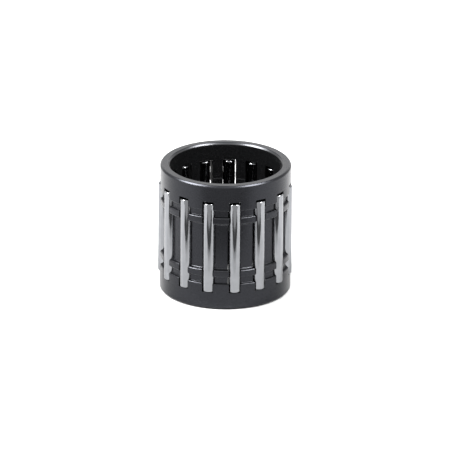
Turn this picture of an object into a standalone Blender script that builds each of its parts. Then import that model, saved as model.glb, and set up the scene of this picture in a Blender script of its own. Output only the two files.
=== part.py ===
"""Needle roller and cage assembly, 18 x 22 x 21.5 mm: a one-piece machined cage with fifteen needle rollers.

The bearing's axis is +Z and the origin is on it, half way up the cage. Lengths below are in millimetres.
"""

import math

import bmesh
import bpy
from mathutils import Matrix, Vector

MM = 0.001

# the running sizes
ROLLERS = 15
ROLLER_D = 2.0
PITCH_R = 10.0  # roller axes, so 18 mm under the rollers and 22 mm over them
ROLLER_L = 15.4
ROLLER_END_R = 0.26  # rounding of the end corners
ROLLER_DROP = 0.10  # the rollers stand on the lower ends of their pockets
ROLLER_LEAD = 0.36  # degrees: and lean on one side of them, as when the ring has last been turned

# the cage
CAGE_R = 10.70
CAGE_H = 21.5
BORE_R = 9.10  # bore at the two end zones
MID_BORE_R = 9.04  # the bars step in at the middle
MID_BORE_Z = 4.45
OUTER_CHAMFER = 0.28
BORE_CHAMFER = 0.30
RECESS_R = 10.00  # long recess at the middle of each bar
RECESS_Z = 3.86
RIDGE_Z = (4.05, 5.18)  # the retaining ridge
GROOVE_R = 10.23
GROOVE_Z = (5.28, 6.30)
RIM_Z = 6.40  # where the groove's outer ledge meets the rim
EDGE_BREAK = 0.12  # on the ridge's and the rim's outer corners
RECESS_EDGE_BREAK = 0.17

# the pockets
POCKET_Z = 7.87
POCKET_HALF = 1.08  # half width at the roller axis
LIP_HALF = 0.93  # half width at the outer lips, under the rollers' own radius
LIP_START_R = 10.40
INNER_LIP_HALF = 0.84  # half width between the inner lips
INNER_LIP_Z = (2.40, 2.60)  # the inner lips end at the first and are gone at the second
CUT_IN_R = 8.3
CUT_OUT_R = 11.3

RING_STEPS = 90
ROLLER_SIDES = 24


def clear_scene():
    for item in list(bpy.data.objects):
        bpy.data.objects.remove(item, do_unlink=True)
    for mesh in list(bpy.data.meshes):
        bpy.data.meshes.remove(mesh)


def steel(name, colour, roughness):
    material = bpy.data.materials.new(name)
    material.use_nodes = True
    shader = material.node_tree.nodes["Principled BSDF"]
    shader.inputs["Base Color"].default_value = (*colour, 1.0)
    shader.inputs["Metallic"].default_value = 1.0
    shader.inputs["Roughness"].default_value = roughness
    return material


def object_from(name, bm, material):
    bmesh.ops.recalc_face_normals(bm, faces=bm.faces)
    mesh = bpy.data.meshes.new(name)
    bm.to_mesh(mesh)
    bm.free()
    if material:
        mesh.materials.append(material)
    item = bpy.data.objects.new(name, mesh)
    bpy.context.scene.collection.objects.link(item)
    return item


def revolve(profile, steps):
    """A closed ring from a closed (radius, height) outline."""
    bm = bmesh.new()
    loop = [bm.verts.new((r * MM, 0.0, z * MM)) for r, z in profile]
    edges = [
        bm.edges.new((loop[i], loop[(i + 1) % len(loop)])) for i in range(len(loop))
    ]
    bmesh.ops.spin(
        bm,
        geom=loop + edges,
        cent=(0, 0, 0),
        axis=(0, 0, 1),
        angle=2 * math.pi,
        steps=steps,
        use_merge=True,
        use_duplicate=False,
    )
    bmesh.ops.remove_doubles(bm, verts=bm.verts, dist=1e-7)
    return bm


def cage_outline():
    half = CAGE_H / 2
    top_outside = [
        (CAGE_R - OUTER_CHAMFER, half),
        (CAGE_R, half - OUTER_CHAMFER),
        (CAGE_R, RIM_Z + EDGE_BREAK),
        (CAGE_R - EDGE_BREAK, RIM_Z - 0.025),
        (GROOVE_R, GROOVE_Z[1]),
        (GROOVE_R, GROOVE_Z[0]),
        (CAGE_R - EDGE_BREAK, RIDGE_Z[1] + 0.025),
        (CAGE_R, RIDGE_Z[1] - EDGE_BREAK),
        (CAGE_R, RIDGE_Z[0] + RECESS_EDGE_BREAK),
        (CAGE_R - RECESS_EDGE_BREAK, RIDGE_Z[0] - 0.045),
        (RECESS_R, RECESS_Z),
    ]
    bottom_inside = [
        (BORE_R + BORE_CHAMFER, -half),
        (BORE_R, -half + BORE_CHAMFER),
        (BORE_R, -MID_BORE_Z - 0.12),
        (MID_BORE_R, -MID_BORE_Z),
    ]
    outline = top_outside + [(r, -z) for r, z in reversed(top_outside)]
    outline += bottom_inside + [(r, -z) for r, z in reversed(bottom_inside)]
    return outline


def pocket_sections():
    """Two outlines of half a pocket, (radius, half width), point for point: the end zones and the middle."""
    lip_r = PITCH_R - math.sqrt(POCKET_HALF**2 - INNER_LIP_HALF**2)
    arc = []
    turns = 4
    first = math.asin(INNER_LIP_HALF / POCKET_HALF)
    for i in range(1, turns):
        a = first + (math.pi / 2 - first) * i / turns
        arc.append(
            (PITCH_R - POCKET_HALF * math.cos(a), POCKET_HALF * math.sin(a))
        )
    radii = [CUT_IN_R, lip_r] + [r for r, _ in arc] + [PITCH_R]
    middle = [(CUT_IN_R, INNER_LIP_HALF), (lip_r, INNER_LIP_HALF)] + arc
    middle.append((PITCH_R, POCKET_HALF))
    ends = [(r, POCKET_HALF) for r in radii]
    shared = [
        (LIP_START_R, POCKET_HALF),
        (CAGE_R, LIP_HALF),
        (CUT_OUT_R, LIP_HALF),
    ]
    return ends + shared, middle + shared


def pocket_cutter():
    """One closed cutter for one pocket, along +X, lips and all."""
    ends, middle = pocket_sections()
    bm = bmesh.new()

    def station(section, z):
        right = [bm.verts.new((r * MM, w * MM, z * MM)) for r, w in section]
        left = [bm.verts.new((r * MM, -w * MM, z * MM)) for r, w in reversed(section)]
        return right + left

    full, faded = INNER_LIP_Z
    rings = [
        station(ends, -POCKET_Z),
        station(ends, -faded),
        station(middle, -full),
        station(middle, full),
        station(ends, faded),
        station(ends, POCKET_Z),
    ]
    bm.faces.new(rings[0])
    bm.faces.new(rings[-1])
    for low, high in zip(rings, rings[1:]):
        for i in range(len(low)):
            j = (i + 1) % len(low)
            bm.faces.new((low[i], low[j], high[j], high[i]))
    bmesh.ops.recalc_face_normals(bm, faces=bm.faces)
    return bm


def pocket_cutters(angles):
    whole = bmesh.new()
    for angle in angles:
        one = pocket_cutter()
        one.transform(Matrix.Rotation(angle, 4, "Z"))
        scratch = bpy.data.meshes.new("pocket")
        one.to_mesh(scratch)
        one.free()
        whole.from_mesh(scratch)
        bpy.data.meshes.remove(scratch)
    return whole


def roller_mesh(material):
    """A solid needle with slightly rounded ends, standing on its own axis."""
    half = ROLLER_L / 2
    radius = ROLLER_D / 2
    outline = [(0.0, half)]
    for i in range(4):
        a = math.pi / 2 * (1 - i / 3)
        outline.append(
            (
                radius - ROLLER_END_R * (1 - math.cos(a)),
                half - ROLLER_END_R * (1 - math.sin(a)),
            )
        )
    outline += [(r, -z) for r, z in reversed(outline)]
    bm = bmesh.new()
    points = [bm.verts.new((r * MM, 0.0, z * MM)) for r, z in outline]
    edges = [bm.edges.new(pair) for pair in zip(points, points[1:])]
    bmesh.ops.spin(
        bm,
        geom=points + edges,
        cent=(0, 0, 0),
        axis=(0, 0, 1),
        angle=2 * math.pi,
        steps=ROLLER_SIDES,
        use_merge=True,
        use_duplicate=False,
    )
    bmesh.ops.remove_doubles(bm, verts=bm.verts, dist=1e-7)
    bmesh.ops.dissolve_degenerate(bm, dist=1e-8, edges=bm.edges)
    bmesh.ops.recalc_face_normals(bm, faces=bm.faces)
    mesh = bpy.data.meshes.new("needle")
    bm.to_mesh(mesh)
    bm.free()
    mesh.materials.append(material)
    return mesh


def smooth(item, angle=30.0):
    for other in bpy.context.view_layer.objects:
        other.select_set(other is item)
    bpy.context.view_layer.objects.active = item
    item.data.shade_smooth()
    item.data.set_sharp_from_angle(angle=math.radians(angle))


clear_scene()

blackened = steel("blackened_cage_steel", (0.045, 0.047, 0.048), 0.38)
polished = steel("polished_bearing_steel", (0.62, 0.63, 0.64), 0.16)

stations = [math.radians(-90.0 + 360.0 * k / ROLLERS) for k in range(ROLLERS)]

cage = object_from("cage", revolve(cage_outline(), RING_STEPS), blackened)
cutters = object_from("pocket_cutters", pocket_cutters(stations), None)
cutters.hide_render = True
cutters.display_type = "WIRE"
pockets = cage.modifiers.new("pockets", "BOOLEAN")
pockets.operation = "DIFFERENCE"
pockets.solver = "EXACT"
pockets.object = cutters
smooth(cage)

needle = roller_mesh(polished)
for k, angle in enumerate(stations):
    roller = bpy.data.objects.new(f"roller_{k + 1:02d}", needle)
    bpy.context.scene.collection.objects.link(roller)
    angle += math.radians(ROLLER_LEAD)
    roller.location = Vector(
        (PITCH_R * math.cos(angle), PITCH_R * math.sin(angle), -ROLLER_DROP)
    ) * MM
    roller.rotation_euler = (0.0, 0.0, angle)
    roller.parent = cage
    if k == 0:
        smooth(roller)
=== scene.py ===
"""Needle roller and cage assembly: the finished surface of the cage and of each needle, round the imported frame."""

import math
import bmesh
import bpy
from mathutils import Matrix, Vector


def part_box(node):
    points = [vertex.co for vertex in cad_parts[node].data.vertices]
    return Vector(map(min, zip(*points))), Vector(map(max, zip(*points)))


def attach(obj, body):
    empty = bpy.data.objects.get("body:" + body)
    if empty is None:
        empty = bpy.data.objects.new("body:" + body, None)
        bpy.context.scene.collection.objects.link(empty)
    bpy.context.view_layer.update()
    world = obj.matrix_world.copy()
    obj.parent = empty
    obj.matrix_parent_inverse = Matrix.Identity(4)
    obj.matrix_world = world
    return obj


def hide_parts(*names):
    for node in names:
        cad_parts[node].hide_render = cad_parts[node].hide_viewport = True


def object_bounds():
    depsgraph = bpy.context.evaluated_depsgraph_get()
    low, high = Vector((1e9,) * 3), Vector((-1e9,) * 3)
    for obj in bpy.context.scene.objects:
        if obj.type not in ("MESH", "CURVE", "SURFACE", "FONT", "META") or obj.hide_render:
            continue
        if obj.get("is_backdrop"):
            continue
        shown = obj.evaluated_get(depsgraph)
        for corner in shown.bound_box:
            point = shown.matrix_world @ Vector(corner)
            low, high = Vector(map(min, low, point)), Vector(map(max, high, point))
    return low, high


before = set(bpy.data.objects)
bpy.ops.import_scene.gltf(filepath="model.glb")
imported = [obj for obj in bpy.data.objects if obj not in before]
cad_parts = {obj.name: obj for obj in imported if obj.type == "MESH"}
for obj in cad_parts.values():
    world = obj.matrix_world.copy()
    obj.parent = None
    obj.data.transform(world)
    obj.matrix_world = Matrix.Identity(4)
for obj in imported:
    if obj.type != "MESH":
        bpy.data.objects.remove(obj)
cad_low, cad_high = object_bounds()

MM = 0.001

# sizes, as in the frame, in millimetres
N = 15
PITCH_R = 10.0
CAGE_R = 10.70
HALF_H = 10.75
BORE_R = 9.10
MID_BORE_R = 9.04
MID_BORE_Z = 4.45
POCKET_Z = 7.87
POCKET_HALF = 1.08
LIP_HALF = 0.93
LIP_START_R = 10.40
INNER_LIP_HALF = 0.84
RECESS_R = 10.00
GROOVE_R = 10.23
ROLLER_R = 1.0
ROLLER_L = 15.4
ROLLER_DROP = 0.10
ROLLER_END_R = 0.19
END_DOME = 0.04
ROLLER_LEAD = math.radians(0.36)
HALF_PITCH = math.pi / N

rollers = [f"roller_{k + 1:02d}" for k in range(N)]


# ---------------------------------------------------------------- geometry


def half_width(r, z):
    """Half width of a pocket at this radius and height above the middle."""
    if r > LIP_START_R:
        share = min(1.0, (r - LIP_START_R) / (CAGE_R - LIP_START_R))
        return POCKET_HALF + (LIP_HALF - POCKET_HALF) * share
    if r >= PITCH_R or z >= 2.60:
        return POCKET_HALF
    cup = max(INNER_LIP_HALF, math.sqrt(POCKET_HALF**2 - (PITCH_R - r) ** 2))
    if z <= 2.40:
        return cup
    return cup + (POCKET_HALF - cup) * (z - 2.40) / 0.20


POCKET_EDGE = 0.035  # rounding of the pocket edges
ARC = 4  # faces across a rounding
POCKET_STEPS = 4
BAR_STEPS = 5
WALL_RADII = [9.88, 9.72, 9.52, 9.40, 9.317]

# outer surface of a bar, (radius, height, rounding), pocket end to middle
BAR_OUTLINE = [
    (10.70, 7.40, 0),
    (10.70, 6.40, 0.17),
    (10.23, 6.30, 0.08),
    (10.23, 5.80, 0),
    (10.23, 5.28, 0.08),
    (10.70, 5.16, 0.20),
    (10.70, 4.60, 0),
    (10.70, 4.05, 0.26),
    (10.00, 3.86, 0.26),
    (10.00, 3.20, 0),
    (10.00, 2.60, 0),
    (10.00, 2.40, 0),
    (10.00, 1.20, 0),
    (10.00, 0.00, 0),
]
# round the rim, from the pocket's outer edge over the top to its inner edge
RIM_OUTLINE = [
    (10.70, POCKET_Z + POCKET_EDGE, 0),
    (10.70, 8.40, 0),
    (10.70, 9.50, 0),
    (10.70, 10.47, 0.10),
    (10.42, 10.75, 0.10),
    (9.95, 10.75, 0),
    (9.40, 10.75, 0.08),
    (BORE_R, 10.45, 0.08),
    (BORE_R, 9.50, 0),
    (BORE_R, 8.40, 0),
    (BORE_R, POCKET_Z + POCKET_EDGE, 0),
]


def filleted(outline):
    """The outline with its corners rounded, as (radius, height), and which of its lengths are roundings."""
    points, rounds = [], []
    for k, (r, z, size) in enumerate(outline):
        if not size:
            points.append((r, z))
            rounds.append(False)
            continue
        here = Vector((r, z))
        before = Vector(outline[k - 1][:2]) - here
        after = Vector(outline[k + 1][:2]) - here
        a = here + before.normalized() * size
        b = here + after.normalized() * size
        for i in range(ARC + 1):
            t = i / ARC
            p = a * (1 - t) ** 2 + here * (2 * t * (1 - t)) + b * t**2
            points.append((p.x, p.y))
            rounds.append(i < ARC)
    return points, rounds


def bore_at(z):
    return MID_BORE_R + (BORE_R - MID_BORE_R) * min(1.0, max(0.0, (z - MID_BORE_Z) / 0.12))


def bar_section(z, outer, inner, top=False):
    """One row of a bar: bar's middle, outer surface, pocket edge, wall, inner edge, inner surface, bar's middle."""
    e = POCKET_EDGE
    row = []

    def at(r, a, lift):
        row.append((r * math.cos(a), r * math.sin(a), z + (lift if top else 0.0)))

    first = math.asin((half_width(outer, z) + e) / outer)
    for i in range(BAR_STEPS):
        at(outer, HALF_PITCH + (first - HALF_PITCH) * i / BAR_STEPS, e)
    for i in range(ARC + 1):
        t = i / ARC
        r = outer - e * t**2
        at(r, math.asin((half_width(r, z) + e * (1 - t) ** 2) / r), e * (1 - t) ** 2)
    for r in [min(LIP_START_R, (outer + 9.88) / 2)] + WALL_RADII:
        at(r, math.asin(half_width(r, z) / r), 0.0)
    for i in range(ARC + 1):
        t = 1 - i / ARC
        r = inner + e * t**2
        at(r, math.asin((half_width(r, z) + e * (1 - t) ** 2) / r), e * (1 - t) ** 2)
    first = math.asin((half_width(inner, z) + e) / inner)
    for i in range(1, BAR_STEPS + 1):
        at(inner, first + (HALF_PITCH - first) * i / BAR_STEPS, e)
    return row


# kinds of face: 0 turned or flat surface, 1 rounding, 2 pocket wall
BAR_KINDS = (
    [0] * BAR_STEPS
    + [1] * ARC
    + [2] * (len(WALL_RADII) + 2)
    + [1] * ARC
    + [0] * BAR_STEPS
)


def cage_patch():
    """One sixtieth of the cage: half a pocket's pitch, above the middle. Points, and quads with their kinds."""
    e = POCKET_EDGE
    points, quads = [], []

    def grid(rows, kind):
        base, wide = len(points), len(rows[0])
        for row in rows:
            points.extend(row)
        for i in range(len(rows) - 1):
            for j in range(wide - 1):
                a = base + i * wide + j
                quads.append(((a, a + 1, a + wide + 1, a + wide), kind(i, j)))

    def at(r, a, z):
        return (r * math.cos(a), r * math.sin(a), z)

    # the rim
    outline, rounds = filleted(RIM_OUTLINE)
    out_edge = math.asin((half_width(CAGE_R, POCKET_Z) + e) / CAGE_R)
    in_edge = math.asin((half_width(BORE_R, POCKET_Z) + e) / BORE_R)
    rows = []
    for r, z in outline:
        share = (CAGE_R - r) / (CAGE_R - BORE_R)
        edge = out_edge + (in_edge - out_edge) * share
        angles = [edge * i / POCKET_STEPS for i in range(POCKET_STEPS)]
        angles += [
            edge + (HALF_PITCH - edge) * i / BAR_STEPS for i in range(BAR_STEPS + 1)
        ]
        rows.append([at(r, a, z) for a in angles])
    grid(rows, lambda i, j: 1 if rounds[i] else 0)

    # the pocket's end, under the rim, with its two rounded edges
    lines = []
    for i in range(ARC + 1):
        t = i / ARC
        lines.append((CAGE_R - e * t**2, e * (1 - t) ** 2))
    lines += [(r, 0.0) for r in [LIP_START_R] + WALL_RADII]
    for i in range(ARC + 1):
        t = 1 - i / ARC
        lines.append((BORE_R + e * t**2, e * (1 - t) ** 2))
    rows = []
    for r, lift in lines:
        edge = math.asin((half_width(r, POCKET_Z) + lift) / r)
        rows.append(
            [
                at(r, edge * i / POCKET_STEPS, POCKET_Z + lift)
                for i in range(POCKET_STEPS + 1)
            ]
        )
    last = len(lines) - 1
    grid(rows, lambda i, j: 1 if i < ARC or i >= last - ARC else 2)

    # the bar
    outline, rounds = filleted(BAR_OUTLINE)
    heights = [(r, z, flag) for (r, z), flag in zip(outline, rounds)]
    for z in (MID_BORE_Z + 0.12, MID_BORE_Z):  # where the bore steps in
        for (r1, z1, flag), (r2, z2, _) in zip(heights, heights[1:]):
            if z1 > z > z2:
                heights.append((r1 + (r2 - r1) * (z1 - z) / (z1 - z2), z, flag))
                break
        heights.sort(key=lambda item: -item[1])
    rows = [bar_section(POCKET_Z, CAGE_R, BORE_R, top=True)]
    rows += [bar_section(z, r, bore_at(z)) for r, z, _ in heights]
    flags = [False] + [flag for _, _, flag in heights]

    def bar_kind(i, j):
        kind = BAR_KINDS[j]
        return 1 if kind == 0 and flags[i] and j < BAR_STEPS else kind

    grid(rows, bar_kind)
    return points, quads


def true_normals(mesh):
    """Normals as machined: a turned face's follow its radius, and only the roundings blend from one to another."""
    total = [Vector() for _ in mesh.vertices]
    for face in mesh.polygons:
        if face.material_index == 1:
            continue
        centre, normal = face.center, face.normal
        a = math.atan2(centre.y, centre.x)
        outward = normal.x * math.cos(a) + normal.y * math.sin(a)
        turned = face.material_index == 0
        for index in face.vertices:
            if turned:
                p = mesh.vertices[index].co
                a = math.atan2(p.y, p.x)
                here = Vector((outward * math.cos(a), outward * math.sin(a), normal.z))
            else:
                here = normal
            total[index] += here * face.area * 1e6
    out = []
    for vertex, normal in zip(mesh.vertices, total):
        out.append(normal.normalized() if normal.length > 1e-9 else vertex.normal.copy())
    return out


def build_cage():
    points, quads = cage_patch()
    bm = bmesh.new()
    for k in range(N):
        turn = math.radians(-90.0 + 360.0 * k / N)
        c, s = math.cos(turn), math.sin(turn)
        for side in (1, -1):
            for up in (1, -1):
                made = []
                for x, y, z in points:
                    y2 = y * side
                    made.append(
                        bm.verts.new(
                            (
                                (x * c - y2 * s) * MM,
                                (x * s + y2 * c) * MM,
                                z * up * MM,
                            )
                        )
                    )
                for quad, kind in quads:
                    face = bm.faces.new([made[i] for i in quad])
                    face.material_index = kind
    bmesh.ops.remove_doubles(bm, verts=bm.verts, dist=1e-6)
    bmesh.ops.recalc_face_normals(bm, faces=bm.faces)
    mesh = bpy.data.meshes.new("cage_machined")
    bm.to_mesh(mesh)
    bm.free()
    for _ in range(3):
        mesh.materials.append(None)
    mesh.shade_smooth()
    normals = true_normals(mesh)
    # how much of each point is rounding, and how much is pocket wall
    edge = mesh.attributes.new("edge", "FLOAT", "POINT")
    wall = mesh.attributes.new("wall", "FLOAT", "POINT")
    seen = [[0, 0, 0] for _ in mesh.vertices]
    for face in mesh.polygons:
        for index in face.vertices:
            seen[index][face.material_index] += 1
    for index, (turned, rounding, side) in enumerate(seen):
        edge.data[index].value = 1.0 if rounding and not turned and not side else 0.0
        wall.data[index].value = side / (turned + rounding + side)
    mesh.polygons.foreach_set("material_index", [0] * len(mesh.polygons))
    mesh.materials.clear()
    mesh.normals_split_custom_set_from_vertices(normals)
    item = bpy.data.objects.new("cage_machined", mesh)
    bpy.context.scene.collection.objects.link(item)
    return item


def build_needle():
    """A ground needle, standing on its own axis: slightly domed ends with rounded corners."""
    half = ROLLER_L / 2
    flat = ROLLER_R - ROLLER_END_R
    tilt = 2 * END_DOME / flat
    outline = [(0.0, half)]
    for i in range(1, 6):
        r = flat * i / 6
        outline.append((r, half - END_DOME * (r / flat) ** 2))
    steps = 8
    first = math.pi / 2 - tilt
    # the corner takes over from the dome without a crease
    for i in range(steps + 1):
        a = first * (1 - i / steps)
        outline.append(
            (
                ROLLER_R - ROLLER_END_R * (1 - math.cos(a)) / (1 - math.cos(first)),
                half - END_DOME - ROLLER_END_R * (math.sin(first) - math.sin(a)),
            )
        )
    outline += [(ROLLER_R, z) for z in (6.6, 5.0, 3.0, 1.0)]
    outline += [(r, -z) for r, z in reversed(outline)]
    bm = bmesh.new()
    loop = [bm.verts.new((r * MM, 0.0, z * MM)) for r, z in outline]
    edges = [bm.edges.new(pair) for pair in zip(loop, loop[1:])]
    bmesh.ops.spin(
        bm,
        geom=loop + edges,
        cent=(0, 0, 0),
        axis=(0, 0, 1),
        angle=2 * math.pi,
        steps=72,
        use_merge=True,
        use_duplicate=False,
    )
    bmesh.ops.remove_doubles(bm, verts=bm.verts, dist=1e-7)
    bmesh.ops.dissolve_degenerate(bm, dist=1e-8, edges=bm.edges)
    bmesh.ops.recalc_face_normals(bm, faces=bm.faces)
    mesh = bpy.data.meshes.new("needle")
    bm.to_mesh(mesh)
    bm.free()
    mesh.shade_smooth()
    return mesh


# ---------------------------------------------------------------- materials

CAGE_ROUGHNESS = 0.20
WORN_EDGE = 0.07
BORE_LEVEL = (0.050, 0.051, 0.054)
NEEDLE_LEVEL = 0.235


class Nodes:
    """A short way to write a node material."""

    def __init__(self, name):
        self.material = bpy.data.materials.new(name)
        self.material.use_nodes = True
        self.tree = self.material.node_tree
        self.shader = self.tree.nodes["Principled BSDF"]

    def add(self, kind, inputs=None, **settings):
        node = self.tree.nodes.new(kind)
        for key, value in settings.items():
            setattr(node, key, value)
        for key, value in (inputs or {}).items():
            if hasattr(value, "links"):
                self.tree.links.new(value, node.inputs[key])
            else:
                node.inputs[key].default_value = value
        return node

    def math(self, operation, a, b=None, clamp=False):
        values = {0: a}
        if b is not None:
            values[1] = b
        return self.add(
            "ShaderNodeMath", values, operation=operation, use_clamp=clamp
        ).outputs[0]

    def ramp(self, value, stops):
        node = self.add("ShaderNodeValToRGB", {0: value})
        elements = node.color_ramp.elements
        while len(elements) < len(stops):
            elements.new(0.5)
        for element, (place, level) in zip(elements, stops):
            element.position = place
            element.color = (level, level, level, 1.0)
        return node.outputs[0]

    def mix(self, share, a, b):
        node = self.add("ShaderNodeMix", data_type="RGBA")
        for index, value in ((0, share), (6, a), (7, b)):
            if hasattr(value, "links"):
                self.tree.links.new(value, node.inputs[index])
            elif index == 0:
                node.inputs[index].default_value = value
            else:
                node.inputs[index].default_value = (*value, 1.0)
        return node.outputs[2]

    def set(self, key, value):
        if hasattr(value, "links"):
            self.tree.links.new(value, self.shader.inputs[key])
        else:
            self.shader.inputs[key].default_value = value


def blackened_steel():
    """Dark phosphated steel: fine speckle, faint turning marks round the axis, a little bare metal on the broken
    edges, and pocket walls painted near black as painted shade.
    """
    n = Nodes("blackened_cage_steel")
    place = n.add("ShaderNodeTexCoord").outputs["Object"]
    mm = n.add("ShaderNodeVectorMath", {0: place, 1: (1000, 1000, 1000)}, operation="MULTIPLY")
    mm = mm.outputs[0]
    split = n.add("ShaderNodeSeparateXYZ", {0: mm})
    radius = n.math(
        "SQRT",
        n.math(
            "ADD",
            n.math("MULTIPLY", split.outputs[0], split.outputs[0]),
            n.math("MULTIPLY", split.outputs[1], split.outputs[1]),
        ),
    )
    # turning marks depend on height and radius only
    lathe = n.add("ShaderNodeCombineXYZ", {0: radius, 1: split.outputs[2], 2: 0.0})
    turning = n.add(
        "ShaderNodeTexNoise",
        {"Vector": lathe.outputs[0], "Scale": 9.0, "Detail": 3.0, "Roughness": 0.7},
    ).outputs["Fac"]
    speckle = n.add(
        "ShaderNodeTexNoise",
        {"Vector": mm, "Scale": 7.0, "Detail": 5.0, "Roughness": 0.65},
    ).outputs["Fac"]
    cloud = n.add(
        "ShaderNodeTexNoise",
        {"Vector": mm, "Scale": 0.45, "Detail": 2.0, "Roughness": 0.5},
    ).outputs["Fac"]
    edge = n.add("ShaderNodeAttribute", attribute_name="edge").outputs["Fac"]
    wall = n.add("ShaderNodeAttribute", attribute_name="wall").outputs["Fac"]
    worn = n.math("MULTIPLY", edge, n.ramp(speckle, [(0.35, 0.2), (0.65, 1.0)]))
    base = n.mix(
        n.ramp(speckle, [(0.30, 0.0), (0.72, 1.0)]),
        (0.0180, 0.0188, 0.0214),
        (0.0315, 0.0327, 0.0370),
    )
    base = n.mix(n.math("MULTIPLY", cloud, 0.35), base, (0.0235, 0.0236, 0.028))
    # the bore is a little brighter than the outside
    base = n.mix(n.math("LESS_THAN", radius, 9.3), base, BORE_LEVEL)
    base = n.mix(n.math("MULTIPLY", worn, WORN_EDGE), base, (0.26, 0.26, 0.27))
    # painted shade: the pocket walls are painted near black, standing in for the shade inside the pockets
    base = n.mix(wall, base, (0.010, 0.010, 0.011))
    n.set("Base Color", base)
    n.set("Metallic", 0.92)
    rough = n.math("ADD", CAGE_ROUGHNESS, n.math("MULTIPLY", speckle, 0.12))
    rough = n.math("ADD", rough, n.math("MULTIPLY", turning, 0.05))
    rough = n.math("ADD", rough, n.math("MULTIPLY", wall, 0.25))
    n.set("Roughness", rough)
    height = n.math(
        "ADD",
        n.math("MULTIPLY", turning, 0.35),
        n.math("MULTIPLY", speckle, 0.65),
    )
    bump = n.add(
        "ShaderNodeBump",
        {"Strength": 0.16, "Distance": 0.00004, "Height": height},
    )
    n.set("Normal", bump.outputs[0])
    return n.material


def polished_steel():
    """Ground bearing steel: bright, with hair-fine grinding lines round the needle and a little oil film."""
    n = Nodes("polished_bearing_steel")
    place = n.add("ShaderNodeTexCoord").outputs["Object"]
    mm = n.add("ShaderNodeVectorMath", {0: place, 1: (1000, 1000, 1000)}, operation="MULTIPLY")
    mm = mm.outputs[0]
    lines = n.add("ShaderNodeVectorMath", {0: mm, 1: (0.6, 0.6, 14.0)}, operation="MULTIPLY")
    grinding = n.add(
        "ShaderNodeTexNoise",
        {"Vector": lines.outputs[0], "Scale": 1.6, "Detail": 4.0, "Roughness": 0.7},
    ).outputs["Fac"]
    film = n.add(
        "ShaderNodeTexNoise",
        {"Vector": mm, "Scale": 0.8, "Detail": 3.0, "Roughness": 0.55},
    ).outputs["Fac"]
    base = n.mix(
        n.ramp(film, [(0.3, 0.0), (0.7, 1.0)]),
        tuple(NEEDLE_LEVEL * v for v in (0.92, 0.94, 0.985)),
        tuple(NEEDLE_LEVEL * v for v in (1.04, 1.06, 1.11)),
    )
    n.set("Base Color", base)
    n.set("Metallic", 1.0)
    rough = n.math("ADD", 0.035, n.math("MULTIPLY", grinding, 0.05))
    rough = n.math("ADD", rough, n.math("MULTIPLY", film, 0.03))
    n.set("Roughness", rough)
    bump = n.add(
        "ShaderNodeBump",
        {"Strength": 0.05, "Distance": 0.00002, "Height": grinding},
    )
    n.set("Normal", bump.outputs[0])
    return n.material


def plain(name, colour, rough=0.9, emit=0.0):
    n = Nodes(name)
    n.set("Base Color", (*colour, 1.0))
    n.set("Roughness", rough)
    if emit:
        n.set("Emission Color", (1, 1, 1, 1))
        n.set("Emission Strength", emit)
    return n.material


# ---------------------------------------------------------------- the object

cage = build_cage()
cage.data.materials.append(blackened_steel())
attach(cage, "cage_body")
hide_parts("cage")

needle = build_needle()
needle.materials.append(polished_steel())
for k, node in enumerate(rollers):
    low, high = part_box(node)
    centre = (low + high) / 2
    turn = math.radians(-90.0 + 360.0 * k / N) + ROLLER_LEAD
    centre.x, centre.y = PITCH_R * MM * math.cos(turn), PITCH_R * MM * math.sin(turn)
    item = bpy.data.objects.new(f"needle_{k + 1:02d}", needle)
    bpy.context.scene.collection.objects.link(item)
    item.location = centre
    item.rotation_euler = (0, 0, math.pi / 2 * k)
    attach(item, f"{node}_body")
    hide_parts(node)


# ---------------------------------------------------------------- floor and light


def sheet(name, low, high, z, material):
    mesh = bpy.data.meshes.new(name)
    mesh.from_pydata(
        [
            (low[0], low[1], z),
            (high[0], low[1], z),
            (high[0], high[1], z),
            (low[0], high[1], z),
        ],
        [],
        [(0, 1, 2, 3)],
    )
    mesh.materials.append(material)
    item = bpy.data.objects.new(name, mesh)
    bpy.context.scene.collection.objects.link(item)
    item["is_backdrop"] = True
    return item


base_z = cad_low.z
floor = sheet("floor", (-2.5, -2.5), (2.5, 2.5), base_z - 0.00002, plain("pale_table", (0.55, 0.55, 0.55)))

VIEW_TURN = math.radians(-8.5)  # the camera stands this far round from the front


def around(x, y):
    """From the camera's own left-right and near-far axes to the frame's."""
    c, s = math.cos(VIEW_TURN), math.sin(VIEW_TURN)
    return (x * c - y * s, x * s + y * c)


def card(name, x0, x1, y0, y1, level, lift=0.0002):
    """A dull card lying on the table in front of the object, outside what the lens is used for."""
    corners = [around(x, y) for x, y in ((x0, y0), (x1, y0), (x1, y1), (x0, y1))]
    mesh = bpy.data.meshes.new(name)
    mesh.from_pydata([(x, y, base_z + lift) for x, y in corners], [], [(0, 1, 2, 3)])
    mesh.materials.append(plain(name, (level, level, level)))
    item = bpy.data.objects.new(name, mesh)
    bpy.context.scene.collection.objects.link(item)
    item.visible_camera = False
    item.visible_shadow = False
    item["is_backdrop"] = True
    return item


card("dark_card", -0.030, 0.030, -0.0462, -0.0356, 0.02)
# painted shade: a darker sheet on the table just in front of the object, hidden from the camera, stands in for the
# less lit table seen in the rollers' reflections
card("near_shade_card", -0.035, 0.035, -0.0356, -0.012, 0.46)
card("inner_card", -0.018, 0.018, -0.0356, -0.0315, 0.26, lift=0.0003)
card("faint_card", -0.012, 0.012, -0.0315, -0.0265, 0.37, lift=0.0003)
card("grey_card", -0.080, 0.080, -0.140, -0.0462, 0.23)


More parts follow.
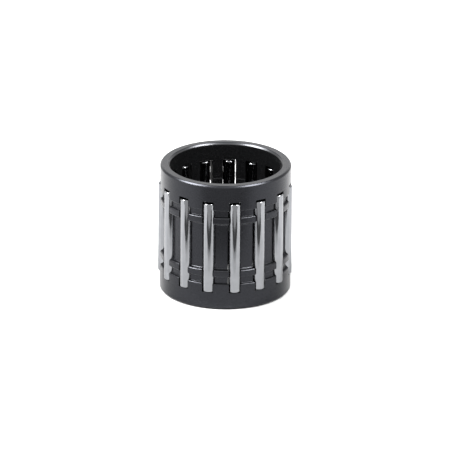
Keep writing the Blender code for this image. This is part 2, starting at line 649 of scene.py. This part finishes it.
def softbox(name, azimuth, elevation, distance, width, height, radiance):
    """An area lamp that faces the object. Azimuth 0 is the camera's side, positive to the right."""
    a, e = math.radians(azimuth), math.radians(elevation)
    x, y = around(
        math.sin(a) * math.cos(e) * distance, -math.cos(a) * math.cos(e) * distance
    )
    lamp = bpy.data.lights.new(name, "AREA")
    lamp.shape = "RECTANGLE"
    lamp.size, lamp.size_y = width, height
    lamp.energy = radiance * 4 * width * height
    item = bpy.data.objects.new(name, lamp)
    bpy.context.scene.collection.objects.link(item)
    item.location = (x, y, math.sin(e) * distance)
    item.rotation_euler = (-item.location).to_track_quat("-Z", "Y").to_euler()
    return item


softbox("softbox_left", -84, 54, 0.6, 0.27, 0.22, 36)
softbox("softbox_right", 70, 58, 0.6, 0.26, 0.17, 29)
softbox("softbox_above", -6, 72, 0.7, 0.45, 0.30, 0.6)
softbox("softbox_behind", 180, 24, 0.8, 1.2, 0.45, 0.52)

world = bpy.data.worlds.new("studio")
bpy.context.scene.world = world
world.use_nodes = True
world.node_tree.nodes["Background"].inputs[0].default_value = (1, 1, 1, 1)
world.node_tree.nodes["Background"].inputs[1].default_value = 1.0

# ---------------------------------------------------------------- camera

ELEVATION = math.radians(21.45)
ROLL = math.radians(0.40)
DISTANCE = 1.98
FRAME_WIDTH = 0.07344  # what the picture spans at the object

x, y = around(0.0, -math.cos(ELEVATION))
back = Vector((x, y, math.sin(ELEVATION)))
look = (-back).to_track_quat("-Z", "Y").to_matrix()
right, up = look.col[0].copy(), look.col[1].copy()
c, s = math.cos(ROLL), math.sin(ROLL)
right, up = right * c + up * s, up * c - right * s
pixel = FRAME_WIDTH / 450
aim = -right * (0.37 * pixel) - up * (0.74 * pixel)
turned = Matrix((right, up, back)).transposed().to_4x4()
data = bpy.data.cameras.new("camera")
data.sensor_width = 36.0
data.lens = 36.0 * DISTANCE / FRAME_WIDTH
data.clip_start, data.clip_end = 0.1, 20.0
camera = bpy.data.objects.new("camera", data)
bpy.context.scene.collection.objects.link(camera)
camera.matrix_world = Matrix.Translation(aim + back * DISTANCE) @ turned
bpy.context.scene.camera = camera

bpy.context.scene.view_settings.view_transform = "Standard"
bpy.context.scene.view_settings.look = "None"

bpy.context.view_layer.update()
low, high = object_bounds()
